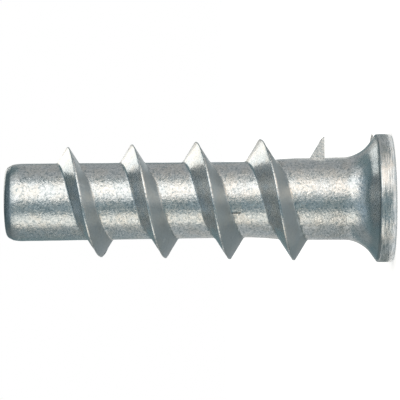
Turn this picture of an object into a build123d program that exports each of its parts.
"""Aerated concrete anchor: a die-cast zinc sleeve with a coarse self-tapping thread.

The anchor stands on its head. The origin is the centre of the head's outer face, +Z runs
along the axis to the tip, and the two halves of the casting die met in the XZ plane.
"""

from build123d import *
import os
from math import cos, radians, tan

# Screw that the anchor takes, an M8, and how deep a metric nut thread is in pitches
screw_diameter = 8.0
screw_pitch = 1.25
nut_thread_depth = 0.54125

# Whole anchor
anchor_length = 60.0

# Hexagon socket for the setting tool, wide enough for the screw to pass
socket_play = 1.0
socket_depth = 12.0
socket_lead_in = 0.5

# Blind screw bore beyond the socket, with its thread's crests as the wall
bore_length = 36.0
bore_end_angle = 59.0
bore_lead_in = 0.8

# Head: a flat round flange on a hollowed cone
flange_overhang = 3.5
flange_thickness = 2.4
flange_face_bevel = 0.4
flange_back_bevel = 0.2
flare_angle = 55.0
flare_round = 4.8

# Neck between the head and the thread
neck_wall = 1.25
neck_length = 16.5
neck_draft = 0.75
neck_step_length = 4.5

# Shank that carries the thread, drawn in a little towards the neck
shank_wall = 2.0
shank_draft = 0.25
tip_length = 2.2
tip_angle = 13.0
tip_round = 0.8

# Self-tapping thread: a right-hand V that grows from the tip to the head
thread_tip_distance = 9.65
thread_pitch = 10.0
thread_turns = 4
thread_first_height = 2.5
thread_last_height = 3.65
thread_flank_angle = 32.0
thread_crest_width = 0.3
thread_root_sink = 0.6

# Relief that lets the thread out of the die, with the lean of its walls
relief_draft = 1.0
relief_width = 3.0

# Radii and heights that follow from the sizes above
socket_across_flats = screw_diameter + socket_play
socket_corner_radius = socket_across_flats / 2 / cos(radians(30))
bore_radius = screw_diameter / 2 - nut_thread_depth * screw_pitch
bore_end = socket_depth + bore_length
bore_tip = bore_end + bore_radius / tan(radians(bore_end_angle))
shank_radius = screw_diameter / 2 + shank_wall
neck_radius = socket_corner_radius + neck_wall
flange_radius = neck_radius + flange_overhang
flare_height = flange_thickness + flange_overhang / tan(radians(flare_angle))
shank_end = anchor_length - tip_length
step_end = neck_length + neck_step_length
thread_start = anchor_length - thread_tip_distance
thread_end = thread_start - thread_pitch * thread_turns
thread_root_radius = shank_radius - thread_root_sink
flank_slope = tan(radians(thread_flank_angle))
half_crest = thread_crest_width / 2


def radius_on_slope(radius, run, angle):
    """Radius after a run along the axis, on a wall that leans in by an angle."""
    return radius - run * tan(radians(angle))


def crest_height(half_turns):
    """Height of the crest over the shank, counted in half turns from the thread's end."""
    share = half_turns / (2 * thread_turns)
    return thread_last_height + (thread_first_height - thread_last_height) * share


def parting_plane(half_turns):
    """Plane of the parting line where the thread crosses it: x outwards, y to the tip."""
    outwards = 1 if half_turns % 2 == 0 else -1
    return Plane(
        origin=(0, 0, thread_end + half_turns * thread_pitch / 2),
        x_dir=(outwards, 0, 0),
        z_dir=(0, -outwards, 0),
    )


def thread_section(half_turns):
    """V section of the thread in the parting plane, with its foot sunk in the shank."""
    height = crest_height(half_turns)
    crest_radius = shank_radius + height
    half_foot = half_crest + (height + thread_root_sink) * flank_slope
    with BuildSketch(parting_plane(half_turns)) as section:
        with BuildLine():
            Polyline(
                (thread_root_radius, -half_foot),
                (crest_radius, -half_crest),
                (crest_radius, half_crest),
                (thread_root_radius, half_foot),
                close=True,
            )
        make_face()
    return section.sketch


def relief_section(half_turns, side):
    """Strip beside one flank line of the V, from inside the shank to beyond the crest."""
    crest_radius = shank_radius + crest_height(half_turns)
    outer_radius = crest_radius + thread_crest_width
    inner_radius = shank_radius / 2
    outer_edge = half_crest - (outer_radius - crest_radius) * flank_slope
    inner_edge = half_crest + (crest_radius - inner_radius) * flank_slope
    with BuildSketch(parting_plane(half_turns)) as section:
        with BuildLine():
            Polyline(
                (outer_radius, side * outer_edge),
                (inner_radius, side * inner_edge),
                (inner_radius, side * (inner_edge + relief_width)),
                (outer_radius, side * (outer_edge + relief_width)),
                close=True,
            )
        make_face()
    return section.sketch


# Coarse thread, swept up its helix from the last section to the first
with BuildPart() as thread:
    with BuildLine() as helix:
        Helix(
            pitch=thread_pitch,
            height=thread_pitch * thread_turns,
            radius=shank_radius,
            center=(0, 0, thread_end),
        )
    sweep(
        sections=[thread_section(0), thread_section(2 * thread_turns)],
        path=helix.wire(),
        multisection=True,
        is_frenet=True,
    )

    # Die relief. Beside each crossing of the parting plane, one flank in each half of the
    # die would lock there, so it is cut back to a wall that leads straight out of the die:
    # the head's side where the thread runs on to the head, the tip's side where it came from
    for half_turns in range(2 * thread_turns + 1):
        for side in (-1, 1):
            out_of_die = parting_plane(half_turns).z_dir * -side
            lean = Vector(0, 0, -side * tan(radians(relief_draft)))
            extrude(
                relief_section(half_turns, side),
                amount=flange_radius,
                dir=out_of_die + lean,
                mode=Mode.SUBTRACT,
            )

    # The head's side of the last crest is cut square to the axis
    split(bisect_by=Plane.XY.offset(thread_end), keep=Keep.TOP)

# Anchor, one casting: shank, neck and head turned about the axis, with the thread on it
with BuildPart() as anchor:
    with BuildSketch(Plane.XZ) as profile:
        shank_foot = radius_on_slope(shank_radius, shank_end - step_end, shank_draft)
        neck_top = radius_on_slope(neck_radius, neck_length - flare_height, neck_draft)
        tip_radius = radius_on_slope(shank_radius, tip_length, tip_angle)
        with BuildLine():
            Polyline(
                (0, 0),
                (flange_radius, 0),
                (flange_radius, flange_thickness),
                (neck_radius, flare_height),
                (neck_top, neck_length),
                (shank_foot, step_end),
                (shank_radius, shank_end),
                (tip_radius, anchor_length),
                (0, anchor_length),
                close=True,
            )
        make_face()
        flange_edges = (
            ((flange_radius, 0), flange_face_bevel),
            ((flange_radius, flange_thickness), flange_back_bevel),
        )
        for corner, length in flange_edges:
            chamfer(profile.vertices().sort_by_distance(corner)[0], length)
        rounded_corners = (
            ((neck_radius, flare_height), flare_round),
            ((tip_radius, anchor_length), tip_round),
        )
        for corner, radius in rounded_corners:
            fillet(profile.vertices().sort_by_distance(corner)[0], radius)
    revolve(axis=Axis.Z)

    # Hexagon socket, with a cast lead-in at its mouth
    with BuildSketch(Plane.XY) as socket:
        RegularPolygon(radius=socket_corner_radius, side_count=6)
    extrude(amount=socket_depth, mode=Mode.SUBTRACT)
    head_face = anchor.faces().sort_by(Axis.Z)[0]
    chamfer(head_face.inner_wires()[0].edges(), socket_lead_in)

    # Blind bore from the socket's floor, countersunk at its mouth and coned at its end
    with BuildSketch(Plane.XZ) as bore:
        with BuildLine():
            Polyline(
                (0, socket_depth),
                (bore_radius + bore_lead_in, socket_depth),
                (bore_radius, socket_depth + bore_lead_in),
                (bore_radius, bore_end),
                (0, bore_tip),
                close=True,
            )
        make_face()
    revolve(axis=Axis.Z, mode=Mode.SUBTRACT)

    add(thread.part)

anchor.part.label = "anchor"

os.makedirs("parts", exist_ok=True)
export_step(anchor.part, "parts/anchor.step")
